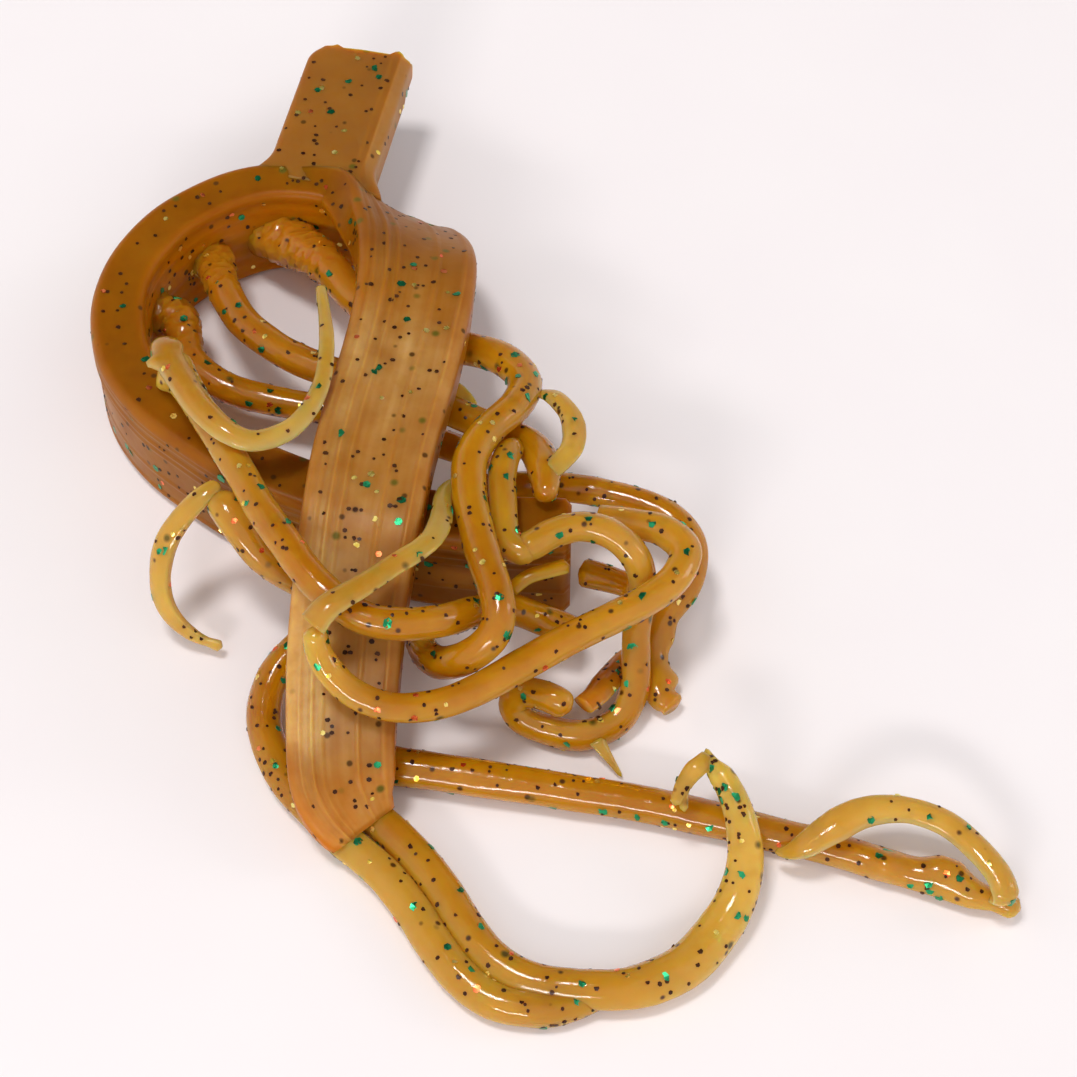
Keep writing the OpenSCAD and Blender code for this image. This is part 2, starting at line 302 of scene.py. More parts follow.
SEE_INTO = 0.003  # how far red light wanders in the plastic, in metres
RED_FARTHEST = (1.0, 0.45, 0.10)  # and each colour's share of that
DARK_SPECK, OLIVE_SPECK = (0.10, 0.04, 0.006), (0.13, 0.10, 0.01)
CLOUD, HAZE, SHEEN, GRAIN = 160, 900, 340, 1300  # noise features to the metre
GRAIN_HEIGHT = 0.0001  # metres


def plastisol(name, deep, light, milky_and_sheen_colour, warm, roughness, shine, clear):
    """Soft plastic you can half see into: cloudy colour, fine specks, drowned glitter.

    deep and light are the cloud's two colours. The next two are those that the vertices' two
    shades mix in: a milky colour, which also paints sheen and highlights, and a warmer colour,
    which also paints a glow of light through the plastic. shine is the specular level, clear the
    share that transmits.
    """
    material, nodes, links, shader = node_material(name)
    where = nodes.new("ShaderNodeTexCoord").outputs["Object"]

    def cloud(scale, detail=3.0):
        node = nodes.new("ShaderNodeTexNoise")
        node.inputs["Scale"].default_value = scale
        node.inputs["Detail"].default_value = detail
        links.new(where, node.inputs["Vector"])
        return node.outputs["Fac"]

    def specks(scale, size, edge):
        """1 inside dots scattered a cell apart, 0 outside."""
        cells = nodes.new("ShaderNodeTexVoronoi")
        cells.inputs["Scale"].default_value = scale
        links.new(where, cells.inputs["Vector"])
        stops = [(0, (1, 1, 1)), (size, (1, 1, 1)), (size + edge, (0, 0, 0))]
        return ramp(nodes, links, cells.outputs["Distance"], stops)

    def kept(label):
        node = nodes.new("ShaderNodeAttribute")
        node.attribute_name = label
        return node.outputs["Fac"]

    body = ramp(nodes, links, cloud(CLOUD), [(0.3, deep), (0.72, light)])
    body = blend_colour(nodes, links, kept("warm"), body, warm)
    body = blend_colour(nodes, links, kept("tone"), body, milky_and_sheen_colour)
    haze = ramp(nodes, links, cloud(HAZE, 2), [(0.42, (0, 0, 0)), (0.75, (0.3, 0.3, 0.3))])
    body = blend_colour(nodes, links, haze, body, light)
    body = blend_colour(nodes, links, specks(430, 0.07, 0.06), body, DARK_SPECK)
    body = blend_colour(nodes, links, specks(270, 0.05, 0.07), body, OLIVE_SPECK)
    links.new(body, shader.inputs["Base Color"])

    gloss_stops = [(0.3, (roughness - 0.05,) * 3), (0.75, (roughness + 0.06,) * 3)]
    links.new(ramp(nodes, links, cloud(SHEEN, 4), gloss_stops), shader.inputs["Roughness"])
    bump = nodes.new("ShaderNodeBump")
    bump.inputs["Strength"].default_value = 0.22
    bump.inputs["Distance"].default_value = GRAIN_HEIGHT
    links.new(cloud(GRAIN, 4), bump.inputs["Height"])
    links.new(bump.outputs["Normal"], shader.inputs["Normal"])
    shader.inputs["IOR"].default_value = 1.42
    shader.inputs["Specular IOR Level"].default_value = shine
    shader.inputs["Transmission Weight"].default_value = clear
    shader.inputs["Subsurface Weight"].default_value = 0.9
    shader.inputs["Subsurface Radius"].default_value = RED_FARTHEST
    shader.inputs["Subsurface Scale"].default_value = SEE_INTO
    return material


def foil(name, colour, worn, metal=0.85, shine=0.5):
    """Metallised glitter film, mottled where the plastic over it is cloudy."""
    material, nodes, links, shader = node_material(name)
    cloud = nodes.new("ShaderNodeTexNoise")
    cloud.inputs["Scale"].default_value = 1400
    links.new(nodes.new("ShaderNodeTexCoord").outputs["Object"], cloud.inputs["Vector"])
    mottled = ramp(nodes, links, cloud.outputs["Fac"], [(0.35, colour), (0.7, worn)])
    links.new(mottled, shader.inputs["Base Color"])
    gloss = ramp(nodes, links, cloud.outputs["Fac"], [(0.3, (0.18,) * 3), (0.8, (0.4,) * 3)])
    links.new(gloss, shader.inputs["Roughness"])
    shader.inputs["Metallic"].default_value = metal
    shader.inputs["Specular IOR Level"].default_value = shine
    return material


BODY = plastisol(
    "amber_band", (0.215, 0.061, 0.0005), (0.30, 0.102, 0.0015), (0.58, 0.345, 0.11),
    (0.50, 0.150, 0.001), 0.34, 0.12, 0.0,
)
LEG = plastisol(
    "amber_limb", (0.52, 0.195, 0.001), (0.70, 0.33, 0.005), (0.86, 0.56, 0.09),
    (0.66, 0.23, 0.010), 0.11, 0.6, 0.4,
)
TAIL = plastisol(
    "pale_tail", (0.66, 0.35, 0.03), (0.80, 0.50, 0.09), (0.94, 0.76, 0.36),
    (0.56, 0.27, 0.010), 0.10, 0.6, 0.45,
)
FOIL = {
    "green": foil("green_foil", (0.01, 0.20, 0.07), (0.03, 0.38, 0.16)),
    "copper": foil("copper_foil", (0.75, 0.10, 0.02), (0.95, 0.28, 0.10)),
    "gold": foil("gold_foil", (0.80, 0.55, 0.05), (1.0, 0.85, 0.30)),
    "black": foil("black_foil", (0.03, 0.010, 0.004), (0.08, 0.03, 0.01), metal=0.0, shine=0.1),
}
GLITTER = {
    "green": (0.060, 0.62, 0.95),
    "copper": (0.022, 0.45, 0.7),
    "gold": (0.034, 0.4, 0.6),
    "black": (0.27, 0.26, 0.5),
}  # flakes to the square millimetre, smallest and largest width in mm


# ------------------------------------------------------------------------ the band

# Travelling from the loop's cut end round to the tab, then over the shoulder and down
# the strap: x, y, z of the middle, roll of the wide side, width, thickness.
BAND = [
    (2.6, -5.2, 5, 90, 10, 5.0), (-3, -5, 5, 90, 10, 4.95), (-8.5, -4.4, 5, 90, 10, 4.9),
    (-14, -3, 5, 90, 10, 4.8), (-19, -1.2, 5, 90, 10, 4.75), (-23.7, 1, 5.1, 90, 10.2, 4.7),
    (-27.8, 3.9, 5.15, 90, 10.3, 4.6), (-31.3, 7, 5.2, 90, 10.4, 4.6),
    (-33.9, 10.8, 5.1, 90, 10.2, 4.5), (-35.2, 15, 5, 90, 10, 4.5),
    (-35.3, 19, 5, 90, 10, 4.4), (-34.2, 23, 5, 90, 10, 4.4), (-31.5, 27, 5, 90, 10, 4.3),
    (-27.5, 30, 5, 90, 10, 4.3), (-23.5, 31.4, 5, 90, 10, 4.2),
    (-19.2, 31.4, 5, 88, 10, 4.2), (-16.5, 30.9, 5.4, 78, 10, 4.2),
    (-13.5, 28.4, 6.6, 53, 10.2, 4.0), (-11.3, 25, 8.5, 28, 10.3, 3.7),
    (-10.4, 21, 10.3, 12, 10.1, 3.4), (-10.3, 17, 11.3, 5, 9.9, 3.2),
    (-10.7, 12.5, 11.8, 0, 9.8, 3.2), (-11.4, 8, 12, 0, 9.8, 3.2),
    (-12.2, 4, 12.1, 0, 9.8, 3.2), (-13.1, -1, 12.1, 0, 9.7, 3.2),
    (-13.7, -6, 11.9, 0, 9.5, 3.2), (-14.2, -9.5, 10.5, 0, 9.2, 3.2),
    (-14.7, -13.2, 8.8, 0, 9, 3.2), (-15, -17.4, 7, 0, 8.8, 3.2),
    (-15.1, -22, 5.6, 0, 8.4, 3.2), (-15, -24.8, 4.7, 0, 8.2, 3.2),
    (-14.8, -26.3, 3.9, 0, 7.8, 2.9), (-14.2, -27.6, 3.0, 0, 7.0, 2.4),
    (-13.3, -28.7, 2.25, 0, 6.1, 1.7),
]
BAND_RIBS = [  # place across the wide side, -0.5 to 0.5, and height in mm
    (0.44, 0.14), (0.37, 0.09), (0.26, 0.16), (0.17, 0.08), (-0.16, 0.11), (-0.40, 0.14),
]
RIB_SPREAD = 0.014  # of the band's width
SHOULDER = [-10.4, 21, 10.3]  # where the strap begins
BAND_STEP = 0.5  # mm between rings
BAND_END = 0.6  # mm over which each cut end is eased


def band_section(width, thick, corner=0.75, across=44, deep=12):
    """Points round the band's section as (wide, thick) pairs, ribs on the outer face."""
    a, b = width / 2, thick / 2
    out = []

    def round_corner(wide_side, thick_side, leaves_face):
        for turn in np.radians(np.linspace(0, 90, 6)[1:-1]):
            c, s = math.cos(turn), math.sin(turn)
            w, t = (s, c) if leaves_face else (c, s)
            w, t = a - corner + corner * w, b - corner + corner * t
            out.append((wide_side * w, thick_side * t))

    for w in np.linspace(a - corner, corner - a, across):
        rib = sum(h * math.exp(-(((w / width - p) / RIB_SPREAD) ** 2)) for p, h in BAND_RIBS)
        out.append((w, b + rib))
    round_corner(-1, 1, True)
    out += [(-a, t) for t in np.linspace(b - corner, corner - b, deep)]
    round_corner(-1, -1, False)
    out += [(w, -b - 0.04 * math.cos(w * 4)) for w in np.linspace(corner - a, a - corner, across)]
    round_corner(1, -1, True)
    out += [(a, t) for t in np.linspace(corner - b, b - corner, deep)]
    round_corner(1, 1, False)
    return out


def band_directions(middle, roll):
    """(wide, thick) unit vectors at each point of the band's middle line."""
    along = np.gradient(middle, axis=0)
    along /= np.linalg.norm(along, axis=1)[:, None]
    side = np.cross([0, 0, 1.0], along)
    side /= np.linalg.norm(side, axis=1)[:, None]
    up = np.cross(along, side)
    wide = -np.cos(roll)[:, None] * side + np.sin(roll)[:, None] * up
    return wide, np.cross(wide, along)


def band_shades(part, depth, at, strap_from, end):
    """(paleness, warmth) round one section of the band, at mm along it. The paleness is milky
    colour with painted sheen on the strap and a little on the loop's outer face; the warmth is a
    painted glow of light through the plastic.

    part: 0.5 at the loop's upper edge and the strap's left. depth: 0.5 on the outer face
    of the loop and the strap's top.
    """
    outer = ease(depth, 0.3, 0.46)
    strap = float(ease(at, strap_from - 2, strap_from + 8))
    settled = float(ease(at, strap_from + 4, strap_from + 14))
    # painted sheen: a pale patch on the strap a little below its shoulder, and two pale streaks
    # along it
    stretch = math.exp(-(((at - strap_from - 14) / 5) ** 2))
    sheen_streaks = 0.35 * np.exp(-(((part - 0.33) / 0.07) ** 2))
    sheen_streaks += 0.30 * np.exp(-(((part + 0.05) / 0.06) ** 2))
    worn = float(ease(at, end - 26, end - 14)) * (1 - float(ease(at, end - 9, end - 5)))
    edge = worn * 1.2 * np.exp(-(((part - 0.36) / 0.22) ** 2))
    drawn = rough(np.stack([part * 30, 0 * part + at / 12, 0 * part], 1), 1, 6)
    # milky paleness on the strap, with the painted sheen patch and streaks added in
    strap_milk_and_sheen = 0.10 + 0.20 * settled + 0.12 * stretch
    strap_milk_and_sheen = strap_milk_and_sheen + sheen_streaks * (0.3 + 0.7 * stretch) + edge + 0.12 * drawn
    # the loop's outer face a little paler, a painted sheen
    tone = outer * ((1 - strap) * 0.06 + strap * strap_milk_and_sheen)
    # painted glow of light through the plastic on the loop's inner wall, less toward its top edge
    inner_glow = (1 - ease(depth, -0.46, -0.3)) * (1 - 0.75 * ease(part, 0.3, 0.47))
    # painted glow through the thin strap: a little all along it, strong at its cut end
    strap_glow = 0.2 * strap + 0.7 * float(ease(at, end - 6, end - 1))
    return tone, np.clip(0.9 * inner_glow + strap_glow, 0, 1)


def build_band():
    line, s = even(smooth(BAND), BAND_STEP)
    middle, widths, thicknesses = line[:, :3], line[:, 4], line[:, 5]
    wide, thick = band_directions(middle, np.radians(line[:, 3]))
    strap_from = s[np.argmin(np.linalg.norm(middle - SHOULDER, axis=1))]
    rings, tones, warms = [], [], []
    for i, here in enumerate(middle):
        near_end = min(s[i], s[-1] - s[i])
        squeeze = math.sqrt(max(1 - max(1 - near_end / BAND_END, 0) ** 2, 0.55))
        section = np.array(
            band_section(widths[i] * (0.94 + 0.06 * squeeze), thicknesses[i] * squeeze)
        )
        rings.append(here + section[:, :1] * wide[i] + section[:, 1:] * thick[i])
        tone, warm = band_shades(
            section[:, 0] / widths[i], section[:, 1] / thicknesses[i], s[i], strap_from, s[-1]
        )
        tones.append(tone)
        warms.append(warm)
    rings, tones, warms = np.array(rings), np.array(tones), np.array(warms)
    tones = np.clip(tones * (1 + 0.6 * rough(rings, 2.2, 3)), 0, 1)
    rings += 0.07 * rough(rings, 5, 1)[:, :, None] * thick[:, None, :]
    piece = skin("band", rings, BODY, "amber_body", tones, warms)
    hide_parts("band_loop", "band_strap")
    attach(piece, "bait")
    flake_beds.append(("bait", rings, 1.0))


build_band()


# ------------------------------------------------------------------------- the tab

TAB_LEAN = math.radians(12)
TAB_ROOT = np.array([-18.6, 35.5, 8.25])
TAB_HALF_WIDTH = 4.65
TAB_HALF_THICK = 1.75
TAB_START, TAB_BODY_END = -4.6, 10.6  # mm from its root
TAB_TIP = 1.5  # mm, the torn end beyond that
TAB_POINTS = 72
TAB_RIBBED_POINTS = 14
TAB_RIBS = ((0.34, 0.10), (0.50, 0.14), (0.66, 0.12), (0.82, 0.14))  # place, height in mm


def tab_section(y, half_w, left):
    """(right, up) mm of the points round the tab, y mm from its root."""
    section = []
    for j in range(TAB_POINTS):
        a = 2 * math.pi * j / TAB_POINTS
        c, d = math.cos(a), math.sin(a)
        x = math.copysign(abs(c) ** 0.22, c) * (half_w if c > 0 else left)
        z = math.copysign(abs(d) ** 0.35, d) * TAB_HALF_THICK
        if d > 0:
            for rib, height in TAB_RIBS:
                z += height * math.exp(-(((x / TAB_HALF_WIDTH - rib) / 0.045) ** 2))
            z -= 0.35 * ease(x / TAB_HALF_WIDTH, 0.72, 1.0)
        if d < 0:
            step = 0.55 if c < 0 else -0.1
            x = x - step * ease(-z, 0.3, 0.5) * (1 - ease(y, 9.0, 9.6))
        section.append((x, z))
    return section


def build_tab():
    """A ribbed slab that grows out of the band's upper edge and ends in a torn cut."""
    tip = TAB_BODY_END + TAB_TIP * np.sin(np.linspace(0.15, 1.45, 9))
    stations = np.concatenate([np.linspace(TAB_START, TAB_BODY_END, 46), tip])
    lean = np.array([math.sin(TAB_LEAN), math.cos(TAB_LEAN), 0])
    right = np.array([math.cos(TAB_LEAN), -math.sin(TAB_LEAN), 0])
    up = np.array([0, 0, 1.0])
    rings, tones = [], []
    for y in stations:
        root = 1 - float(ease(y, TAB_START, -0.4))
        half_w = TAB_HALF_WIDTH + 1.3 * root**2
        end = max(0.0, (y - 10.1) / 2)
        left = half_w - 2.2 * (1 - math.sqrt(max(1 - min(end, 1) ** 2, 0.02)))
        rings.append(
            [TAB_ROOT + right * x + lean * y + up * z for x, z in tab_section(y, half_w, left)]
        )
        ribbed = [j < TAB_RIBBED_POINTS for j in range(TAB_POINTS)]
        tones.append([0.14 + 0.2 * worn * (1 - root) for worn in ribbed])
    rings = np.array(rings)
    torn = ease(stations, 11.3, 12.0)[:, None]
    rings += (0.5 * torn * rough(rings, 0.7, 4))[:, :, None] * lean
    rings += 0.05 * rough(rings, 4, 2)[:, :, None] * up
    piece = skin("moulding_tab", rings, BODY, "amber_body", np.array(tones))
    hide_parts("sprue_tab")
    move(piece, TAB_BEND)
    flake_beds.append((TAB_BEND, rings, 0.8))


build_tab()


# ------------------------------------------------------------------- legs and tails

# tails' thin sides painted paler, a painted glow at their edges
TAIL_SHAPE = {"flat": 0.78, "blunt": (0, 0.7), "glitter": 0.6, "ridge": 0.16, "side_glow": 0.6}


def leg(name, route, nodes, radii, motion="bait", material=LEG, slot="amber_leg", **shape):
    """A limb that stands for the named CAD nodes, if any."""
    piece = limb("soft_" + name, route, radii, material, slot, motion, **shape)
    if nodes:
        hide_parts(*nodes)


def tail(name, route, nodes, radii, motion="bait", material=TAIL, **shape):
    """A thin pale limb, flatter than a leg."""
    leg(name, route, nodes, radii, motion, material, "pale_tail", **{**TAIL_SHAPE, **shape})


leg(
    "s_bend_leg",
    [(-24.2, 31, 4.2), (-22, 28.6, 5), (-18.6, 25, 6), (-15.8, 20.8, 6.6), (-11.8, 16.8, 7),
     (-7.2, 14.2, 8), (-3.4, 12.2, 9), (-1.2, 9, 10), (-1.8, 5.5, 11.1), (-4, 2.2, 12),
     (-5.4, -1, 12.4), (-5.4, -4.5, 12.4), (-4.9, -7.5, 12.4), (-4.2, -10.5, 12.4),
     (-3.3, -13.4, 12.4), (-3, -15.6, 11.9), (-3.7, -17, 10.9), (-5.4, -17.6, 9.4),
     (-7.4, -17, 7.6), (-8.7, -15.3, 6), (-9.4, -13, 5), (-9.6, -10.6, 4.8)],
    ["s_bend_leg"],
    ((0, 2.9), (0.04, 2.3), (0.09, 1.75), (0.14, 1.5), (0.4, 1.45), (1, 1.25)),
    wrinkles=((1.2, 10.5, 0.36),), warm=((0, 1), (0.08, 0.9), (0.2, 0.4), (0.3, 0)),
    tone=((0, 0), (0.3, 0), (0.42, 0.15), (0.6, 0.05), (1, 0.1)), seed=1,
)
leg(
    "ring_leg_upper",
    [(-31.4, 27.8, 4.4), (-28.5, 26.2, 5), (-27.3, 22, 6.5), (-25, 17.2, 7.5),
     (-21.5, 13.6, 8), (-17.5, 11.4, 8), (-13, 9.6, 8), (-8.5, 7.8, 8.1), (-5, 6, 8.1),
     (-2.4, 4.4, 8.6), (-0.5, 2.5, 9.5), (0.3, 0, 10.5), (0.6, -2.6, 11.3),
     (0.5, -4.4, 11.5)],
    ["ring_leg_upper"],
    ((0, 2.3), (0.06, 1.7), (0.14, 1.4), (0.8, 1.3), (0.93, 1.4), (1, 0.9)),
    wrinkles=((1.2, 9.5, 0.34),), warm=((0, 1), (0.1, 0.9), (0.3, 0.4), (0.5, 0)), seed=2,
)
leg(
    "ring_leg_lower",
    [(-34.2, 20.9, 4.4), (-31, 19.5, 5), (-29.5, 14.8, 5.3), (-26.5, 12.2, 5),
     (-23, 11.2, 4.5), (-19, 10.4, 4.4), (-15, 9.2, 4.4), (-11, 7.6, 4.4), (-7, 6, 4.6),
     (-4, 4.2, 4.6)],
    ["ring_leg_lower"], ((0, 2.4), (0.07, 1.7), (0.16, 1.35), (1, 1.2)),
    wrinkles=((1.2, 8.5, 0.34),), warm=((0, 1), (0.15, 0.9), (0.4, 0.4), (0.7, 0)), seed=3,
)
leg(
    "crossing_leg",
    [(2.5, -12, 4.4), (0, -11.6, 5.6), (-2.5, -12, 7.6), (-5, -13.8, 9.8),
     (-7.5, -15.6, 11.3), (-10.5, -16.4, 12.1), (-13.5, -15.9, 12.5), (-16.5, -13.8, 13.2),
     (-19, -10.6, 13.6), (-21.5, -6.4, 13.2), (-23.6, -2.2, 12.5), (-25.4, 1.2, 11.9),
     (-27.4, 4.7, 11.8), (-29, 7.6, 11.8), (-29.9, 9.9, 11.9)],
    ["crossing_leg"], ((0, 1.2), (0.9, 1.28), (1, 1.4)),
    bumps=((49, 200, 0.9, 0.8), (47.6, 90, 0.5, 1.2)),
    tone=((0, 0), (0.5, 0.05), (0.66, 0.2), (0.85, 0.45), (1, 0.85)), seed=4,
)
leg(
    "outer_loop_leg",
    [(-7.5, 0, 5.4), (-4, 0.8, 6), (0, 0.8, 6.3), (4, 0.4, 6.3), (7.5, -0.6, 6.3),
     (10.5, -2.2, 6.3), (12.2, -4.4, 5.9), (12.3, -6.4, 5.2), (11.6, -8, 4.2),
     (10, -9.8, 3.2), (9.2, -12, 2.2), (9.2, -14, 1.6), (9.6, -16, 1.4), (10.4, -17.4, 1.3)],
    ["outer_loop_leg"], ((0, 1.25), (0.75, 1.2), (0.95, 1.15), (1, 0.8)),
    bumps=((34, 180, 0.7, 0.9), (36.6, 170, 0.7, 0.8), (30, 180, 0.3, 1.2)),
    tone=((0, 0), (0.5, 0.1), (1, 0.2)), seed=5,
)
leg(
    "big_loop_leg",
    [(4.8, -4.4, 8.9), (7.4, -5, 9.2), (9.9, -6, 9.6), (11.5, -8, 9.7), (10.6, -10.6, 9.7),
     (8.4, -12.6, 9.7), (5.4, -14.4, 9.6), (2, -16.2, 9.4), (-1.4, -18.2, 9),
     (-4.8, -20.2, 8.7), (-8, -21.5, 8.7), (-11.5, -21.8, 9), (-14.4, -20.8, 9.9),
     (-16.4, -19, 11.6), (-16.8, -17.6, 13.6)],
    ["big_loop_leg"], ((0, 1.25), (0.5, 1.3), (0.9, 1.15), (1, 1.0)),
    tone=((0, 0.3), (0.3, 0.3), (0.5, 0.1), (0.8, 0.15), (1, 0.7)), seed=6,
)
leg(
    "inner_leg",
    [(-1.9, 2.4, 9.6), (-2.3, 1, 10.8), (-2.7, -0.6, 11.4), (-2.9, -2.6, 11.4),
     (-2.8, -4.6, 11.4), (-2.7, -6.4, 11.4), (-2.4, -8.2, 11.4), (-1.4, -9.1, 11.4),
     (-0.4, -8.7, 11.5)],
    ["inner_leg"], ((0, 0.8), (0.15, 1.1), (1, 1.12)), tone=((0, 0.1), (1, 0.3)), seed=13,
)
leg(
    "arch_leg",
    [(-1.6, -9.1, 11.4), (-0.4, -8.6, 11.5), (1.2, -7.5, 11.5), (3.5, -6.9, 11.5),
     (5.8, -7.5, 11.2), (7.6, -8.8, 10), (8.2, -10, 8.2), (8, -11.2, 6.4),
     (7.7, -12.8, 5.4), (7.7, -14.6, 4.2), (7.5, -16.6, 2.6), (6.2, -18.6, 1.5),
     (3.6, -19.8, 1.4), (1, -19.4, 1.4), (-1.2, -18.6, 1.7), (-2, -17.8, 2.8),
     (-1.2, -17.6, 4.1), (0.2, -18.2, 4.8), (1.5, -18.9, 4.9), (2.5, -19.4, 4.5)],
    ["arch_leg"], ((0, 1.15), (0.3, 1.15), (0.7, 1.3), (1, 1.1)),
    tone=((0, 0.3), (0.25, 0.5), (0.5, 0.1), (1, 0.1)), blunt=(0.9, 0.9), seed=7,
)
leg(
    "short_leg",
    [(-18, -8.6, 5.6), (-21.5, -7.4, 7.8), (-23.3, -5.8, 9.4), (-24.6, -4.4, 10.2),
     (-25.5, -3, 10.4)],
    ["short_leg"], ((0, 1.4), (0.7, 1.55), (1, 1.3)), tone=((0, 0.1), (0.6, 0.3), (1, 0.5)),
    seed=8,
)
leg(
    "strap_leg",
    [(-16.4, -10.6, 3.8), (-18.6, -12.2, 3.4), (-20.9, -15, 2.7), (-21.6, -18.2, 2),
     (-21, -21, 1.6), (-19.5, -24, 1.5), (-17.3, -26.6, 1.5), (-14.7, -29.3, 1.5),
     (-11.6, -32.2, 1.5), (-9.2, -35.4, 1.5), (-7.6, -38, 1.5), (-5.6, -40.7, 1.5),
     (-3, -42.5, 1.45), (0.2, -43.1, 1.4), (2.8, -42.6, 1.35), (4.8, -41.8, 1.3)],
    ["strap_leg", "strap_leg_end"],
    ((0, 1.2), (0.4, 1.4), (0.75, 1.42), (0.9, 1.3), (1, 0.9)),
    # the paleness around the middle of its length is a painted highlight on the bundle
    tone=((0, 0), (0.4, 0.2), (0.5, 0.7), (0.65, 0.6), (0.85, 0.4), (1, 0.2)), seed=9,
)
leg(
    "hoop_leg",
    [(-14.6, -25.4, 1.6), (-13.2, -26.6, 1.55), (-11, -28.7, 1.55), (-9.1, -30.8, 1.55),
     (-7.2, -33.4, 1.6), (-5.6, -36.2, 1.6), (-3.5, -39, 1.6), (-0.7, -40.8, 1.6),
     (2.8, -41.5, 1.6), (6.6, -41.5, 1.6), (10.3, -40.1, 1.7), (13, -37.4, 1.8),
     (14.8, -34.6, 2.6), (15.5, -32, 4), (15.1, -29.3, 5.4), (14.2, -27, 6.2),
     (13.1, -25.4, 6.6), (12.7, -24, 6.5)],
    ["hoop_leg_root", "hoop_leg"],
    ((0, 1.4), (0.45, 1.45), (0.6, 1.65), (0.72, 1.6), (0.85, 1.3), (0.95, 0.95), (1, 0.15)),
    motion=HOOP_BEND, tone=((0, 0.1), (0.3, 0.3), (0.5, 0.3), (0.7, 0.9), (1, 1)), seed=10,
)
leg(
    "long_leg",
    [(-15, -21.8, 1.8), (-11, -22.8, 1.8), (-7, -23.5, 1.8), (1, -24.8, 1.7),
     (8.5, -26.2, 1.6), (15, -27.8, 1.5), (19.5, -29, 1.4), (21, -29.4, 1.4),
     (25, -30.8, 1.4), (28.5, -32, 1.4), (32, -33.4, 1.4), (34.2, -34.2, 1.4),
     (36.2, -34.9, 1.3)],
    ["long_leg", "long_leg_end"],
    ((0, 1.6), (0.35, 1.45), (0.8, 1.25), (0.93, 1.15), (0.962, 0.8), (0.985, 1.0), (1, 0.95)),
    motion=LONG_BEND,
    bumps=((42.5, 60, 0.5, 0.9), (46.2, 140, 0.75, 1.1), (47.8, 140, 0.75, 1.1)),
    tone=((0, 0), (0.5, 0.05), (0.8, 0.25), (1, 0.55)), seed=11,
)
leg(
    "cut_stub",
    [(3.2, -6.8, 5.1), (5.2, -7.2, 4.8), (7.6, -7.8, 4.4)],
    ["cut_stub"], ((0, 1.3), (1, 1.1)), flat=0.75, blunt=(0.5, 0.6), seed=12,
)

tail(
    "crossing_tail",
    [(-30.4, 9.6, 13.5), (-30, 8.3, 14.1), (-28.8, 5.8, 14.4), (-27, 2.8, 14.5),
     (-24.8, 0.4, 14.4), (-22.5, -0.4, 14), (-20, 0.6, 13.9), (-18.3, 2.4, 14.2),
     (-17.3, 5.2, 14.4), (-17.1, 8.8, 14.4), (-17.5, 12.8, 13.6), (-18.1, 16.6, 12.8)],
    ["crossing_tail"], ((0, 1.1), (0.1, 1.05), (0.3, 0.98), (0.6, 0.78), (1, 0.38)),
    motion="crossing_tail_tip", bumps=((2.2, 10, 0.9, 0.5), (1.2, 160, 0.3, 0.7)),
    tone=((0, 0), (0.3, 0), (0.5, 0.3), (1, 0)), warm=((0, 1), (0.15, 0.8), (0.45, 0)),
    seed=21,
)
tail(
    "big_loop_tail",
    [(-16.9, -17.6, 14), (-15.8, -16.6, 14.8), (-13.6, -15, 14.9), (-11, -12.8, 14.7),
     (-8.5, -10.4, 14.2), (-7.6, -7.6, 13.2), (-7.5, -4.6, 12.2), (-7, -2.9, 11.4),
     (-6, -2, 10.8)],
    ["big_loop_tail"], ((0, 1.1), (0.15, 0.95), (0.7, 0.85), (1, 0.5)), flat=0.55,
    warm=((0, 0.5), (0.2, 0.2), (0.4, 0)), seed=22,
)
tail(
    "ring_leg_upper_tail",
    [(0.9, -1.6, 11.7), (1.9, -0.7, 11.9), (2.6, 0.4, 11.8), (2.9, 2.2, 11.4),
     (2.6, 4.4, 11), (1.7, 6, 10.8), (0.9, 6.9, 10.5), (-0.3, 7.4, 10.2)],
    ["ring_leg_upper_tail"], ((0, 0.9), (0.5, 0.9), (0.85, 0.7), (1, 0.35)), flat=0.6,
    seed=23,
)
tail(
    "arch_tail",
    [(3.5, -18.8, 4.2), (4.4, -17.8, 3.9), (5.1, -16.5, 3.4), (5.9, -15, 2.8),
     (6.6, -13.6, 2.2), (7.5, -12.3, 1.8)],
    ["arch_tail"], ((0, 0.9), (0.4, 1.05), (1, 0.7)), flat=0.5, blunt=(0, 0.8), glitter=2,
    warm=((0, 1), (1, 1)), material=LEG, seed=24,
)
tail(
    "tucked_tail",
    [(-2.1, -10.9, 8.7), (-0.9, -10.2, 9.3), (0.6, -9.7, 9.4), (2.4, -9, 9.2)],
    ["tucked_tail"], ((0, 0.5), (1, 0.5)), glitter=0.2, material=LEG, seed=25,
)
tail(
    "side_tail",
    [(-25.3, -2.4, 11.1), (-26.4, -3.4, 11), (-28.2, -4.8, 9.8), (-29.6, -6.2, 8),
     (-30.2, -8, 5.5), (-29.6, -9.6, 3.5), (-27.8, -10.8, 2), (-25.4, -11.5, 1.2)],
    ["side_tail"],
    ((0, 0.6), (0.12, 0.9), (0.35, 1.1), (0.6, 1.05), (0.85, 0.75), (0.93, 0.5), (1, 0.7)),
    motion="side_tail_tip", flat=0.65, blunt=(0.8, 0.6), seed=26,
)
tail(
    "hoop_tail",
    [(12.8, -24.9, 6.6), (12.2, -25.5, 6.6), (11.6, -26, 6.4), (10.8, -27, 5.8),
     (10.2, -28.2, 5.2)],
    ["hoop_tail"], ((0, 0.7), (0.3, 0.8), (1, 0.4)), motion="hoop_tip", seed=27,
)
